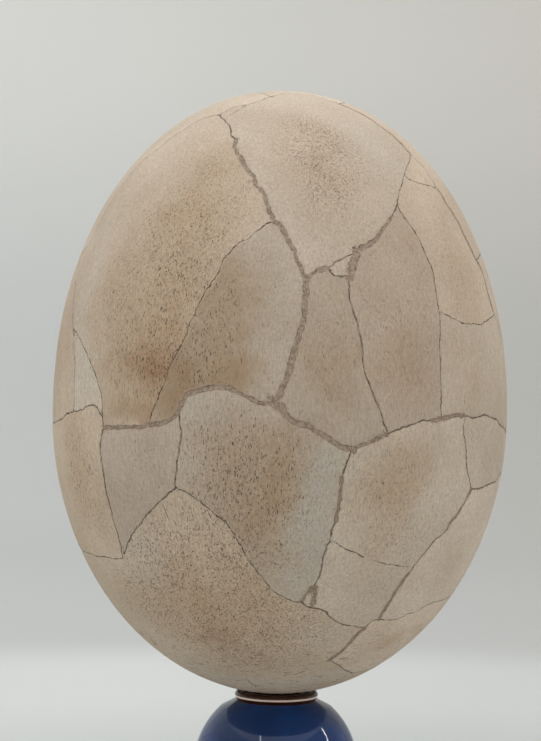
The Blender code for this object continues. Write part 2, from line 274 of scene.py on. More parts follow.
# Seams that the front shows, as picture points: units from the picture's left, then from its top
FRONT_SEAMS: list[tuple[SeamKind, list[Point]]] = [
    (NARROW, [(271, 96), (266, 97), (260, 100), (253, 102), (247, 104), (238, 105), (232, 107),
              (226, 110), (219, 114)]),
    (HAIR, [(247, 104), (242, 107), (236, 111), (230, 114)]),
    (MEDIUM, [(219, 114), (211, 115), (199, 119), (192, 123), (183, 129), (178, 132), (171, 136), (165, 141),
              (159, 147), (152, 152), (144, 158), (138, 163), (133, 168), (128, 176), (122, 183), (115, 192),
              (110, 200), (105, 209), (100, 218), (96, 227), (90, 239), (84, 249), (80, 258), (78, 268),
              (75, 280), (74, 292), (73, 305), (72, 318), (72, 328)]),
    (NARROW, [(72, 328), (73, 337), (73, 347), (74, 365), (73, 380), (73, 395), (73, 411)]),
    (NARROW, [(72, 328), (76, 333), (80, 340), (84, 349), (89, 360), (92, 368), (95, 375), (97, 382),
              (100, 392), (102, 402), (102, 417)]),
    (MEDIUM, [(219, 114), (225, 121), (230, 126), (231, 135), (236, 138)]),
    (WIDE, [(236, 138), (234, 146), (237, 152), (240, 156), (243, 162), (247, 169), (253, 175), (257, 186),
            (263, 192), (268, 205), (271, 214), (273, 221)]),
    (WIDE, [(273, 221), (279, 224), (283, 231), (288, 239), (291, 246), (295, 251), (297, 260), (300, 265),
            (302, 272), (306, 279)]),
    (NARROW, [(273, 221), (267, 223), (260, 228), (253, 234), (248, 239), (240, 242), (235, 246), (231, 251),
              (224, 257), (220, 267), (218, 274), (212, 281), (207, 289), (202, 298), (196, 309), (194, 316),
              (189, 323), (187, 332), (184, 338), (182, 344), (177, 352), (173, 359), (168, 368), (167, 376),
              (164, 384), (160, 392), (157, 400), (154, 407), (151, 415), (149, 424)]),
    (WIDE, [(306, 279), (311, 274), (318, 270)]),
    (BROAD, [(318, 270), (328, 268)]),
    (MEDIUM, [(328, 268), (336, 262), (345, 257), (354, 253)]),
    (BROAD, [(354, 253), (366, 246), (373, 242)]),
    (WIDE, [(373, 242), (377, 239), (382, 231), (387, 224), (392, 217)]),
    (MEDIUM, [(392, 217), (396, 210), (398, 203)]),
    (MEDIUM, [(328, 268), (333, 275), (342, 276), (348, 275)]),
    (BLOT, [(357, 251), (354, 260), (351, 271), (349, 281)]),
    (MEDIUM, [(349, 281), (350, 298), (354, 313), (358, 325), (361, 338), (363, 352), (363, 366), (368, 380),
              (372, 391), (376, 400), (380, 410), (384, 421), (388, 434)]),
    (BROAD, [(306, 279), (306, 290), (305, 300), (304, 312), (303, 322), (300, 332), (298, 342), (294, 352),
             (291, 362), (290, 370), (287, 378), (283, 386), (280, 394), (273, 404)]),
    (BLOT, [(271, 401), (276, 405), (283, 411)]),
    (MEDIUM, [(53, 423), (62, 418), (66, 413), (77, 411), (82, 409), (86, 406), (92, 405), (96, 407),
              (98, 412), (102, 417)]),
    (MEDIUM, [(102, 417), (103, 427)]),
    (WIDE, [(103, 427), (112, 428), (125, 427), (140, 427), (149, 424), (160, 424), (168, 421), (174, 417),
            (179, 412), (181, 404), (184, 398), (187, 394)]),
    (BROAD, [(187, 394), (195, 392), (205, 389), (215, 387), (225, 387), (231, 388), (236, 392)]),
    (WIDE, [(236, 392), (247, 397), (254, 401), (262, 403), (273, 404)]),
    (BROAD, [(273, 404), (282, 411), (287, 416), (292, 420), (298, 423), (305, 425), (312, 429), (320, 433),
             (328, 438), (340, 446), (352, 450)]),
    (BLOT, [(348, 449), (354, 450)]),
    (WIDE, [(352, 450), (360, 446), (368, 444), (374, 441), (381, 437), (388, 434)]),
    (MEDIUM, [(388, 434), (400, 429), (408, 426), (415, 424), (422, 421), (432, 421)]),
    (WIDE, [(432, 421), (442, 418), (450, 417), (460, 415), (466, 416)]),
    (MEDIUM, [(466, 416), (475, 418), (480, 417), (484, 415), (490, 417), (497, 420), (501, 425),
              (506, 430)]),
    (NARROW, [(398, 203), (398, 199), (400, 190), (403, 182), (405, 175), (407, 167), (410, 160),
              (411, 153)]),
    (NARROW, [(405, 175), (409, 179), (417, 182), (425, 184), (432, 186), (437, 188)]),
    (BROAD, [(340, 103), (347, 106), (360, 112), (369, 117), (376, 122), (382, 126), (387, 130), (393, 134),
              (398, 139), (403, 144), (408, 150), (411, 153)]),
    (NARROW, [(411, 153), (416, 159), (424, 166), (430, 176), (434, 181), (437, 188)]),
    (BROAD, [(437, 188), (441, 192), (447, 203), (453, 212), (459, 222), (464, 233), (470, 245), (477, 260),
             (482, 268), (486, 280), (488, 290), (492, 304), (495, 314)]),
    (MEDIUM, [(495, 314), (499, 325), (503, 342), (505, 360)]),
    (HAIR, [(398, 203), (400, 210), (406, 219), (413, 228), (418, 236)]),
    (NARROW, [(418, 236), (422, 245), (426, 254), (431, 264), (434, 273), (436, 285), (437, 298),
              (440, 311)]),
    (NARROW, [(440, 311), (441, 322), (441, 335), (440, 348), (442, 362), (441, 378), (442, 392), (442, 402),
              (441, 408), (442, 418)]),
    (NARROW, [(440, 311), (447, 315), (455, 319), (463, 323), (472, 324), (482, 324), (487, 321),
              (495, 314)]),
    (MEDIUM, [(466, 416), (464, 428), (466, 440), (467, 450), (467, 460), (468, 472), (470, 480),
              (472, 489)]),
    (MEDIUM, [(472, 489), (478, 489), (484, 487), (490, 484), (496, 482), (499, 477), (502, 472)]),
    (WIDE, [(472, 489), (468, 498), (463, 507), (459, 514), (452, 522), (448, 529)]),
    (MEDIUM, [(448, 529), (442, 536), (437, 539), (430, 547), (423, 556), (417, 564), (411, 572)]),
    (WIDE, [(411, 572), (404, 581), (398, 590), (392, 600), (386, 609), (380, 620)]),
    (MEDIUM, [(380, 620), (373, 621), (365, 629)]),
    (WIDE, [(365, 629), (360, 633), (355, 638), (350, 644), (342, 652), (330, 661)]),
    (NARROW, [(380, 620), (392, 621), (400, 619), (407, 615), (414, 613), (420, 611), (427, 606), (434, 603),
              (443, 601)]),
    (HAIR, [(330, 661), (340, 667), (352, 674)]),
    (MEDIUM, [(352, 450), (347, 463), (344, 471), (342, 478)]),
    (WIDE, [(342, 478), (341, 490), (340, 500), (337, 515), (336, 522)]),
    (MEDIUM, [(336, 522), (332, 530), (331, 539), (328, 546), (324, 556), (322, 565), (321, 573), (318, 580),
              (314, 586)]),
    (WIDE, [(314, 586), (309, 591), (305, 597), (302, 603)]),
    (WIDE, [(316, 588), (314, 598), (312, 608)]),
    (HAIR, [(331, 539), (340, 546), (347, 550), (356, 553), (363, 557)]),
    (HAIR, [(375, 561), (384, 564), (395, 566), (408, 567)]),
    (MEDIUM, [(179, 412), (179, 424), (181, 432), (180, 442), (178, 452), (177, 462), (176, 470), (175, 478),
              (175, 488)]),
    (NARROW, [(175, 488), (182, 490), (187, 492), (192, 496), (200, 502), (205, 506), (212, 512), (219, 518),
              (225, 522), (231, 530), (235, 536), (240, 545), (245, 554), (249, 561), (255, 569), (260, 575),
              (266, 583), (270, 588), (277, 594), (285, 598), (292, 602), (302, 603)]),
    (MEDIUM, [(302, 603), (307, 607), (312, 608), (320, 610), (327, 613), (330, 618), (335, 622), (342, 625),
              (350, 626), (365, 629)]),
    (MEDIUM, [(175, 488), (172, 491), (165, 497), (158, 503), (150, 511), (145, 516), (138, 527), (132, 534),
              (127, 543), (122, 559)]),
    (MEDIUM, [(103, 427), (101, 434), (100, 440), (99, 450), (101, 462), (103, 475), (105, 488), (108, 502),
              (111, 512), (113, 522), (116, 532), (120, 546), (122, 559)]),
    (NARROW, [(122, 559), (113, 559), (107, 558), (103, 557), (97, 557), (90, 554), (80, 549)]),
    (HAIR, [(163, 507), (165, 511), (168, 519)]),
    (HAIR, [(304, 672), (297, 675), (290, 675)]),
    (HAIR, [(246, 680), (256, 687)]),
]

# Seams of the back, as turns in degrees from the front towards +X and heights above the foot in metres
BACK_SEAMS: list[tuple[SeamKind, list[Point]]] = [
    (WIDE, [(78.4, 0.2028), (95, 0.196), (112, 0.205), (130, 0.214)]),
    (BROAD, [(130, 0.214), (150, 0.206), (168, 0.196)]),
    (WIDE, [(168, 0.196), (188, 0.201), (207, 0.212)]),
    (WIDE, [(207, 0.212), (228, 0.203), (248, 0.198)]),
    (MEDIUM, [(248, 0.198), (265, 0.2035), (281.3, 0.2036)]),
    (NARROW, [(-11.3, 0.3631), (-40, 0.3668), (-130, 0.3668), (-155, 0.360)]),
    (NARROW, [(-11.3, 0.3631), (5, 0.3660), (28, 0.3655), (48.4, 0.3606)]),
    (MEDIUM, [(205, 0.360), (195, 0.345), (188, 0.325), (180, 0.303)]),
    (NARROW, [(48.4, 0.3606), (75, 0.3625), (110, 0.358), (130, 0.345), (138, 0.325), (133, 0.300)]),
    (WIDE, [(133, 0.300), (126, 0.275), (128, 0.245), (130, 0.214)]),
    (NARROW, [(180, 0.303), (165, 0.296), (148, 0.303), (133, 0.300)]),
    (WIDE, [(180, 0.303), (190, 0.280), (203, 0.262)]),
    (MEDIUM, [(203, 0.262), (206, 0.240), (207, 0.212)]),
    (NARROW, [(203, 0.262), (222, 0.270), (240, 0.262), (256, 0.270), (270, 0.281), (284.1, 0.2884)]),
    (NARROW, [(256, 0.270), (262, 0.245), (255, 0.222), (248, 0.198)]),
    (NARROW, [(256, 0.270), (248, 0.295), (240, 0.320), (218, 0.345), (205, 0.360)]),
    (NARROW, [(80, 0.2368), (88, 0.218), (95, 0.196)]),
    (NARROW, [(69.9, 0.2851), (90, 0.290), (112, 0.283), (126, 0.275)]),
    (NARROW, [(80.6, 0.182), (92, 0.170), (108, 0.163), (113, 0.185), (112, 0.205)]),
    (NARROW, [(108, 0.163), (100, 0.140), (88, 0.125), (67.2, 0.1203)]),
    (WIDE, [(168, 0.196), (165, 0.170), (172, 0.148)]),
    (MEDIUM, [(172, 0.148), (160, 0.125), (140, 0.108), (118, 0.100)]),
    (NARROW, [(118, 0.100), (95, 0.092), (70, 0.086), (46.5, 0.0845)]),
    (NARROW, [(108, 0.163), (130, 0.155), (150, 0.142), (172, 0.148)]),
    (MEDIUM, [(172, 0.148), (195, 0.152), (215, 0.140)]),
    (WIDE, [(215, 0.140), (235, 0.150), (258, 0.138), (280.6, 0.1419)]),
    (NARROW, [(248, 0.198), (240, 0.175), (228, 0.158), (215, 0.140)]),
    (NARROW, [(215, 0.140), (212, 0.115), (225, 0.095), (250, 0.083)]),
    (NARROW, [(118, 0.100), (150, 0.088), (185, 0.084), (212, 0.088), (225, 0.095)]),
]


@dataclass(frozen=True)
class Shard:
    """A piece of the shell: a place inside it, its tone with painted light and shade, and how far it stands
    out, in millimetres.
    """

    name: str
    place: Point
    tone_and_painted_light: Colour
    ledge: float


# Places are picture points, or a turn and a height as for the back's seams
# Tones are partly the shards' own colours, partly painted shade on the middle shards and painted light low on
# the right
SHARDS: list[Shard] = [
    Shard("crown", (330, 200), (0.975, 0.973, 0.98), 0.05),
    Shard("left outer top", (262, 0.315), (1.09, 1.09, 1.10), -0.10),
    Shard("left shoulder", (150, 250), (1.005, 0.985, 0.975), 0.10),
    Shard("small triangle", (82, 385), (1.04, 1.04, 1.04), -0.05),
    Shard("left outer", (270, 0.240), (1.00, 0.95, 0.92), -0.12),
    Shard("left middle", (260, 320), (0.85, 0.84, 0.84), 0.0),
    Shard("centre", (325, 350), (0.83, 0.82, 0.815), 0.05),
    Shard("right middle", (400, 330), (0.885, 0.87, 0.875), -0.05),
    Shard("right upper", (460, 260), (1.01, 0.98, 0.96), 0.08),
    Shard("small upper right", (421, 172), (1.05, 1.02, 0.99), 0.0),
    Shard("right girth", (460, 370), (0.97, 0.96, 0.96), 0.02),
    Shard("right outer top", (95, 0.320), (1.00, 0.98, 0.97), -0.10),
    Shard("right outer", (105, 0.250), (1.02, 0.99, 0.97), -0.08),
    Shard("left lower strip", (78, 480), (1.02, 0.98, 0.93), 0.05),
    Shard("left lower", (140, 470), (0.89, 0.87, 0.89), -0.08),
    Shard("centre lower", (250, 480), (0.905, 0.905, 0.91), 0.10),
    Shard("belly", (190, 610), (1.035, 1.01, 0.98), 0.0),
    Shard("right lower", (400, 490), (1.04, 1.045, 1.055), 0.02),
    Shard("right edge", (487, 450), (1.03, 1.03, 1.06), 0.0),
    Shard("right lower edge", (460, 560), (1.17, 1.17, 1.21), -0.05),
    Shard("right foot", (410, 640), (1.23, 1.20, 1.20), 0.0),
    Shard("back upper left", (217, 0.305), (0.97, 0.94, 0.91), 0.08),
    Shard("back upper", (165, 0.250), (1.01, 0.99, 0.96), 0.0),
    Shard("back left", (230, 0.235), (1.04, 1.02, 1.00), -0.06),
    Shard("back right", (140, 0.180), (1.00, 0.96, 0.92), 0.08),
    Shard("back middle", (200, 0.180), (0.98, 0.94, 0.90), 0.0),
    Shard("back lower", (180, 0.115), (1.01, 0.98, 0.95), 0.05),
]


class Mark(Enum):
    """What a patch does to the shell; the value is its row in the table of marks. A few PALE patches paint
    light.
    """

    OCHRE = 0
    PALE = 1
    DARK = 2
    PORES = 3


OCHRE, PALE, DARK, PORES = Mark.OCHRE, Mark.PALE, Mark.DARK, Mark.PORES


@dataclass(frozen=True)
class Stain:
    """A soft oval patch of one shard: its middle, and its half width and half height in millimetres.

    Its core is the share of the patch that has the full strength, and it leans by some degrees.
    """

    kind: Mark
    place: Point
    reach: Point
    strength: float
    shard: str
    lean: float = 0.0
    core: float = 0.2


# Most patches are stain marks and pores; two pale ones paint light instead, as marked below
STAINS: list[Stain] = [
    Stain(OCHRE, (312, 160), (28, 32), 0.30, "crown"),
    Stain(PORES, (318, 163), (20, 36), 0.78, "crown"),
    Stain(DARK, (316, 168), (6, 10), 0.10, "crown"),
    Stain(PALE, (375, 150), (22, 24), 0.45, "crown"),
    Stain(OCHRE, (205, 230), (30, 54), 0.50, "left shoulder"),
    Stain(OCHRE, (215, 180), (16, 34), 0.25, "left shoulder"),
    Stain(OCHRE, (140, 300), (38, 60), 0.55, "left shoulder"),
    Stain(OCHRE, (172, 350), (34, 32), 0.60, "left shoulder"),
    Stain(OCHRE, (135, 418), (28, 9), 0.45, "left shoulder"),
    Stain(OCHRE, (136, 404), (44, 26), 0.34, "left shoulder", 0.0, 0.6),
    Stain(DARK, (150, 370), (9, 7), 0.60, "left shoulder"),
    Stain(DARK, (150, 365), (26, 20), 0.30, "left shoulder"),
    Stain(DARK, (178, 368), (8, 14), 0.55, "left shoulder"),
    Stain(DARK, (140, 418), (26, 7), 0.45, "left shoulder"),
    Stain(PORES, (200, 225), (34, 56), 0.40, "left shoulder"),
    Stain(PORES, (145, 315), (42, 56), 0.36, "left shoulder"),
    Stain(PORES, (165, 360), (20, 18), 0.60, "left shoulder"),
    # Painted rim light: a pale strip along the left outline
    Stain(PALE, (86, 296), (7, 46), 0.36, "left shoulder", 0.0, 0.5),
    Stain(OCHRE, (203, 342), (25, 54), 0.88, "left middle", 0.0, 0.5),
    Stain(OCHRE, (166, 398), (16, 22), 0.75, "left middle"),
    Stain(OCHRE, (232, 382), (15, 12), 0.70, "left middle"),
    Stain(DARK, (178, 368), (11, 20), 0.40, "left middle"),
    Stain(PORES, (200, 330), (20, 48), 0.46, "left middle", 0.0, 0.4),
    Stain(OCHRE, (338, 372), (20, 26), 0.52, "centre"),
    Stain(OCHRE, (328, 335), (30, 60), 0.22, "centre"),
    Stain(PORES, (335, 355), (17, 30), 0.20, "centre"),
    Stain(OCHRE, (404, 375), (28, 26), 0.52, "right middle"),
    Stain(OCHRE, (411, 236), (7, 7), 0.35, "right middle"),
    Stain(OCHRE, (398, 290), (36, 60), 0.22, "right middle"),
    Stain(PORES, (400, 350), (22, 34), 0.24, "right middle"),
    Stain(OCHRE, (468, 290), (14, 30), 0.20, "right upper"),
    Stain(PORES, (452, 260), (12, 30), 0.25, "right upper"),
    Stain(OCHRE, (470, 370), (16, 22), 0.25, "right girth"),
    Stain(PALE, (82, 375), (12, 24), 0.70, "small triangle"),
    Stain(OCHRE, (74, 460), (14, 34), 0.50, "left lower strip"),
    Stain(PORES, (80, 480), (14, 36), 0.45, "left lower strip"),
    Stain(PORES, (140, 470), (18, 24), 0.05, "left lower"),
    Stain(PALE, (205, 415), (16, 12), 0.60, "centre lower"),
    Stain(OCHRE, (250, 470), (34, 36), 0.54, "centre lower"),
    Stain(OCHRE, (275, 470), (10, 26), 0.30, "centre lower"),
    Stain(OCHRE, (262, 535), (28, 36), 0.48, "centre lower"),
    Stain(PORES, (246, 500), (40, 54), 0.60, "centre lower"),
    Stain(PALE, (322, 520), (12, 50), 0.95, "centre lower", -6.0, 0.5),
    Stain(OCHRE, (222, 606), (52, 42), 0.68, "belly"),
    Stain(OCHRE, (285, 648), (28, 14), 0.14, "belly"),
    Stain(PORES, (220, 598), (58, 56), 0.74, "belly", 0.0, 0.5),
    Stain(DARK, (228, 622), (44, 30), 0.14, "belly"),
    Stain(DARK, (240, 662), (44, 5), 0.05, "belly"),
    Stain(DARK, (222, 634), (12, 9), 0.25, "belly"),
    Stain(DARK, (298, 686), (9, 2), 0.80, "belly", 8.0),
    Stain(DARK, (262, 679), (16, 2), 0.45, "belly", 8.0),
    # Painted light reflected up from below: a pale band just above the egg's contact with the stand
    Stain(PALE, (270, 684), (56, 9), 0.75, "belly", 0.0, 0.5),
    Stain(PALE, (325, 635), (16, 10), 0.60, "belly"),
    Stain(PALE, (142, 550), (16, 24), 0.55, "belly"),
    Stain(PALE, (355, 475), (7, 14), 0.50, "right lower"),
    Stain(OCHRE, (406, 465), (24, 18), 0.55, "right lower", 40.0),
    Stain(OCHRE, (380, 525), (18, 34), 0.52, "right lower", -16.0),
    Stain(PORES, (395, 500), (22, 40), 0.30, "right lower"),
    Stain(OCHRE, (455, 560), (14, 24), 0.20, "right lower edge", 30.0),
    Stain(OCHRE, (378, 650), (12, 9), 0.75, "right foot"),
    Stain(OCHRE, (410, 636), (14, 8), 0.35, "right foot"),
]

# Stains of the back and the far sides: shard, turn and height, reach, and the strengths of ochre and of pores
BACK_STAINS: list[tuple[str, Point, Point, float, float]] = [
    ("back upper", (165, 0.260), (46, 40), 0.65, 0.80),
    ("back upper left", (215, 0.310), (34, 30), 0.70, 0.80),
    ("back right", (142, 0.180), (36, 22), 0.60, 0.50),
    ("back middle", (205, 0.175), (34, 24), 0.85, 0.90),
    ("back lower", (178, 0.115), (40, 22), 0.60, 0.0),
    ("left outer top", (262, 0.315), (30, 30), 0.45, 0.0),
    ("left outer", (268, 0.240), (30, 26), 0.55, 0.50),
    ("right outer top", (98, 0.320), (36, 24), 0.40, 0.0),
    ("belly", (235, 0.110), (34, 22), 0.60, 0.80),
]
STAINS += [Stain(kind, place, reach, strength, shard) for shard, place, reach, ochre, pores in BACK_STAINS
           for kind, strength in ((OCHRE, ochre), (PORES, pores))]


@dataclass(frozen=True)
class Seam:
    """A crack between two shards: its line over the shell and its half width along it, in metres."""

    kind: SeamKind
    trail: np.ndarray
    halves: np.ndarray


@dataclass(frozen=True)
class Nearest:
    """The nearest seam of some places: distance, the same below zero on one side, half width and depth."""

    distance: np.ndarray
    signed: np.ndarray
    half: np.ndarray
    depth: np.ndarray


class SeamNet:
    """All seams of the egg, with a quick search for the nearest one."""

    step = 1.0 * MM
    back_sway = 2.4 * MM

    def __init__(self, form: EggForm, view: Viewpoint) -> None:
        """Draw every seam over the shell.

        Args:
            form: The egg's shape.
            view: Where the front's points are read from.
        """
        self.form = form
        self.seams: list[Seam] = []
        for table, sway in ((FRONT_SEAMS, 0.0), (BACK_SEAMS, self.back_sway)):
            for kind, points in table:
                self.draw(kind, np.array([view.place(form, point) for point in points]), sway)
        self.points = np.concatenate([seam.trail for seam in self.seams])
        self.halves = np.concatenate([seam.halves for seam in self.seams])
        self.depths = np.concatenate([np.full(len(seam.trail), seam.kind.depth) for seam in self.seams])
        self.owners = np.concatenate([np.full(len(seam.trail), i) for i, seam in enumerate(self.seams)])
        self.tree = kdtree.KDTree(len(self.points))
        for index, point in enumerate(self.points):
            self.tree.insert(Vector(point), index)
        self.tree.balance()

    def draw(self, kind: SeamKind, corners: np.ndarray, sway: float) -> None:
        """Add one seam, with a jagged line and an uneven width.

        Args:
            kind: How wide and deep it is.
            corners: The places that it passes.
            sway: How far long bends stray from the line, in metres.
        """
        lengths = np.linalg.norm(np.diff(corners, axis=0), axis=1)
        run = np.concatenate([[0.0], np.cumsum(lengths)])
        count = max(int(run[-1] / self.step), 2)
        places = np.linspace(0.0, run[-1], count + 1)
        trail = np.stack([np.interp(places, run, corners[:, axis]) for axis in range(3)], 1)
        trail = self.form.onto(trail)
        aside = unit(np.cross(self.form.normals(trail), np.gradient(trail, axis=0)))
        to_end = np.minimum(places, run[-1] - places)
        seed = 3.1 * len(self.seams)
        jags = kind.jag * (1.3 * grain(trail, 5 * MM, seed) + 1.0 * grain(trail, 2 * MM, seed + 1))
        bends = sway * (grain(trail, 30 * MM, seed + 2) + 0.5 * grain(trail, 11 * MM, seed + 3))
        stray = jags * smooth(0.0, 4 * MM, to_end) + bends * smooth(0.0, 25 * MM, to_end)
        trail = self.form.onto(trail + aside * stray[:, None])
        uneven = 1 + 0.35 * grain(trail, 6 * MM, seed + 4) + 0.25 * grain(trail, 2.5 * MM, seed + 5)
        self.seams.append(Seam(kind, trail, kind.half * np.clip(uneven, 0.45, 1.6)))

    def measure(self, points: np.ndarray) -> Nearest:
        """Look for the nearest seam of each point.

        Args:
            points: Places on the shell.

        Returns:
            Their nearest seams' measures, in metres.
        """
        nearest = np.array([self.tree.find(Vector(point))[1] for point in points])
        distance = np.full(len(points), np.inf)
        side = np.ones(len(points))
        half = self.halves[nearest]
        outward = self.form.normals(points)
        for back in (1, 0):
            first = np.clip(nearest - back, 0, len(self.points) - 2)
            along = self.points[first + 1] - self.points[first]
            share = ((points - self.points[first]) * along).sum(1) / np.maximum((along ** 2).sum(1), 1e-15)
            share = np.clip(share, 0.0, 1.0)
            gap = points - self.points[first] - along * share[:, None]
            reach = np.linalg.norm(gap, axis=1)
            reach[self.owners[first] != self.owners[first + 1]] = np.inf
            closer = reach < distance
            distance = np.where(closer, reach, distance)
            turn = np.sign((np.cross(along, gap) * outward).sum(1))
            side = np.where(closer, np.where(turn == 0, 1.0, turn), side)
            width = self.halves[first] * (1 - share) + self.halves[first + 1] * share
            half = np.where(closer, width, half)
        return Nearest(distance, distance * side, half, self.depths[nearest])


@dataclass
class EggShell:
    """The egg's shell as one mesh, with its channels cut and its marks kept as attributes."""

    form: EggForm
    view: Viewpoint
    net: SeamNet
    channel_half: float = 0.45 * MM
    worn_depth: float = 0.10 * MM
    proud_limit: float = 0.10 * MM
    ledge_drop: float = 0.17 * MM
    clearance: float = 0.25 * MM
    item: bpy.types.Object = field(init=False)

    def build(self) -> bpy.types.Object:
        """Model the shell.

        Returns:
            The finished egg.
        """
        bpy.ops.object.select_all(action="DESELECT")
        bpy.ops.mesh.primitive_ico_sphere_add(subdivisions=7, radius=1.0, location=(0, 0, 0))
        self.item = bpy.context.object
        self.item.name = "egg_shell"
        rough = self.coords() * self.form.radius + np.array([0, 0, self.form.middle])
        self.put(self.form.onto(rough))
        self.refine(lambda near, points: near.distance < np.maximum(near.half + 1.2 * MM, 2.2 * MM))
        self.refine(lambda near, points: (near.distance < near.half + 0.7 * MM)
                    & (near.half > self.channel_half) & (points[:, 1] < 25 * MM))
        points = self.coords()
        near = self.net.measure(points)
        labels = self.label(points, near.distance)
        self.mark(points, near, labels)
        self.carve(points, near, labels)
        bpy.ops.object.shade_smooth()
        return self.item

    def coords(self) -> np.ndarray:
        """The mesh's corner places."""
        mesh = self.item.data
        flat = np.empty(len(mesh.vertices) * 3)
        mesh.vertices.foreach_get("co", flat)
        return flat.reshape(-1, 3)

    def put(self, points: np.ndarray) -> None:
        """Move the mesh's corners to new places."""
        self.item.data.vertices.foreach_set("co", points.ravel())
        self.item.data.update()

    def corners(self) -> np.ndarray:
        """The three corner numbers of each triangle."""
        mesh = self.item.data
        flat = np.empty(len(mesh.polygons) * 3, dtype=np.int64)
        mesh.polygons.foreach_get("vertices", flat)
        return flat.reshape(-1, 3)

    def refine(self, wanted: Callable[[Nearest, np.ndarray], np.ndarray]) -> None:
        """Split the triangles near some seams in four.

        Args:
            wanted: A test of the nearest seam and the place of each corner of the mesh.
        """
        points = self.coords()
        chosen = wanted(self.net.measure(points), points)[self.corners()].any(1)
        mesh = self.item.data
        bpy.context.view_layer.objects.active = self.item
        bpy.ops.object.mode_set(mode="EDIT")
        bpy.ops.mesh.select_mode(type="FACE")
        bpy.ops.mesh.select_all(action="DESELECT")
        bpy.ops.object.mode_set(mode="OBJECT")
        mesh.polygons.foreach_set("select", chosen)
        mesh.update()
        bpy.ops.object.mode_set(mode="EDIT")
        bpy.ops.mesh.subdivide(number_cuts=1, smoothness=0, ngon=False)
        bpy.ops.mesh.select_all(action="SELECT")
        bpy.ops.mesh.quads_convert_to_tris(quad_method="SHORTEST_DIAGONAL", ngon_method="BEAUTY")
        bpy.ops.object.mode_set(mode="OBJECT")
        self.put(self.form.onto(self.coords()))

    def label(self, points: np.ndarray, distance: np.ndarray) -> np.ndarray:
        """Say which shard each corner is in, by growing the shards until they meet in the seams.

        Args:
            points: The corners' places.
            distance: How far each is from the nearest seam.

        Returns:
            A row number of SHARDS for each corner.
        """
        neighbours: list[list[int]] = [[] for _ in points]
        for a, b, c in self.corners():
            neighbours[a].append(b)
            neighbours[b].append(c)
            neighbours[c].append(a)
        labels = np.full(len(points), -1)
        queue: list[tuple[float, int, int]] = []
        for number, shard in enumerate(SHARDS):
            start = self.view.place(self.form, shard.place)
            corner = int(((points - start) ** 2).sum(1).argmin())
            heapq.heappush(queue, (-1.0, corner, number))
        while queue:
            _, corner, number = heapq.heappop(queue)
            if labels[corner] >= 0:
                continue
            labels[corner] = number
            for other in neighbours[corner]:
                if labels[other] < 0:
                    heapq.heappush(queue, (-distance[other], other, number))
        return labels

    def mark(self, points: np.ndarray, near: Nearest, labels: np.ndarray) -> None:
        """Keep the seams, the shards' tones with their painted light and shade, and the stain marks with
        their painted pale light on the mesh as attributes for the material.

        Args:
            points: The corners' places.
            near: Their nearest seams.
            labels: The shard of each corner.
        """
        outward = self.form.normals(points)
        coarse = [grain(points, 26 * MM, seed) for seed in (21, 22, 23)]
        medium = [grain(points, 9 * MM, seed) for seed in (24, 25, 26)]
        warped = points + 9 * MM * np.stack(coarse, 1) + 4 * MM * np.stack(medium, 1)
        marks = np.zeros((len(points), len(Mark)))
        for stain in STAINS:
            marks[:, stain.kind.value] += self.soft_patch(stain, warped, outward, labels)
        self.keep("seam", np.stack([near.signed, near.distance, near.half], 1) / MM)
        self.keep("tone_and_painted_light", np.array([shard.tone_and_painted_light for shard in SHARDS])[labels])
        self.keep("stains_and_painted_light", marks[:, [OCHRE.value, PALE.value, DARK.value]])
        self.keep("pores", np.repeat(marks[:, [PORES.value]], 3, axis=1))

    def soft_patch(self, stain: Stain, points: np.ndarray, outward: np.ndarray,
                   labels: np.ndarray) -> np.ndarray:
        """How strongly one stain colours each corner of the mesh.

        Args:
            stain: The stain.
            points: The corners' places.
            outward: Directions square to the shell there.
            labels: The shard of each corner.

        Returns:
            A share for each corner.
        """
        middle = self.view.place(self.form, stain.place)
        out = self.form.normals(middle[None])[0]
        aside = unit(np.cross([0.0, 0.0, 1.0], out))
        upward = np.cross(out, aside)
        turn = math.radians(stain.lean)
        gap = points - middle
        across = gap @ aside * math.cos(turn) + gap @ upward * math.sin(turn)
        along = gap @ upward * math.cos(turn) - gap @ aside * math.sin(turn)
        reach = np.hypot(across / (stain.reach[0] * MM), along / (stain.reach[1] * MM))
        share = stain.strength * smooth(1.25, stain.core, reach) * (outward @ out > 0)
        return share * (labels == [shard.name for shard in SHARDS].index(stain.shard))

    def keep(self, name: str, rows: np.ndarray) -> None:
        """Store three numbers for each corner of the mesh.

        Args:
            name: The attribute's name.
            rows: Three numbers a corner.
        """
        layer = self.item.data.attributes.new(name, "FLOAT_VECTOR", "POINT")
        layer.data.foreach_set("vector", np.ascontiguousarray(rows, dtype=np.float32).ravel())

    def carve(self, points: np.ndarray, near: Nearest, labels: np.ndarray) -> None:
        """Sink the seams, set each shard a little in or out, and make the shell uneven.

        Args:
            points: The corners' places.
            near: Their nearest seams.
            labels: The shard of each corner.
        """
        ledge = np.array([shard.ledge for shard in SHARDS])[labels] * MM
        height = ledge + 0.16 * MM * grain(points, 55 * MM, 1) + 0.06 * MM * grain(points, 18 * MM, 2)
        floor = near.depth * (0.85 + 0.35 * grain(points, 1.8 * MM, 3))
        sunk = smooth(1.25, 0.6, near.distance / near.half) * (near.half > self.channel_half)
        worn = self.worn_depth * smooth(2.2 * MM, 0.0, near.distance - near.half)
        height = height - floor * sunk - worn
        low_down = smooth(0.0, 14 * MM, points[:, 2] - (self.form.middle - self.form.lower))
        height = (np.minimum(height, self.proud_limit) - self.ledge_drop) * low_down - self.clearance
        self.put(points + self.form.normals(points) * height[:, None])


